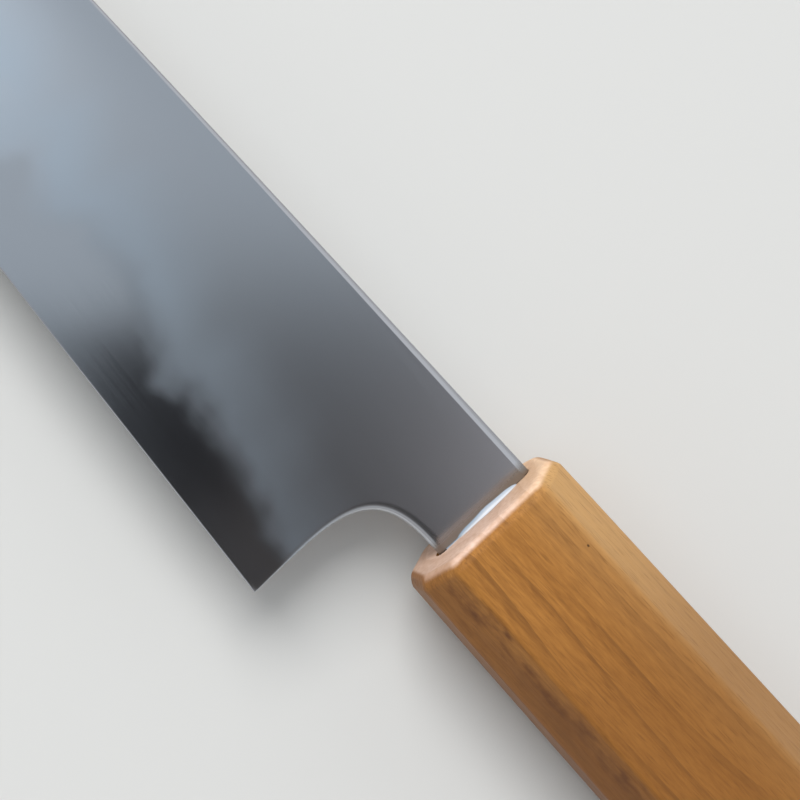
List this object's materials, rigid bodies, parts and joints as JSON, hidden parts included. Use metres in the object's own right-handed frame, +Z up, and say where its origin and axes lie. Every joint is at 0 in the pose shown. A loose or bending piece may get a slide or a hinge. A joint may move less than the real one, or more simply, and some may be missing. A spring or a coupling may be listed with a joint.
{
  "type": "petty knife",
  "caption": "Small kitchen knife with a pointed blade ground on both faces, a curved finger hollow behind the heel and a tapering octagonal wooden handle without a ferrule.",
  "frame": {"origin": "middle of the knife's outer box, on the surface that it lies on", "axes": "+X from the tip towards the butt, +Y from the cutting edge towards the spine, +Z up, out of the blade's left face"},
  "size_m": [0.2786, 0.0348, 0.0192],
  "materials": {
    "blade_steel": "satin polish with a cloudy temper line above the edge",
    "handle_wood": "fine-sanded and oiled",
    "bedding_filler": "hardened filler",
    "seal_resin": "clear gloss resin"
  },
  "bodies": {
    "root": {"blade": "blade_steel", "handle": "handle_wood", "tang_bedding": "bedding_filler", "seal_left": "seal_resin", "seal_right": "seal_resin"}
  },
  "joints": []
}
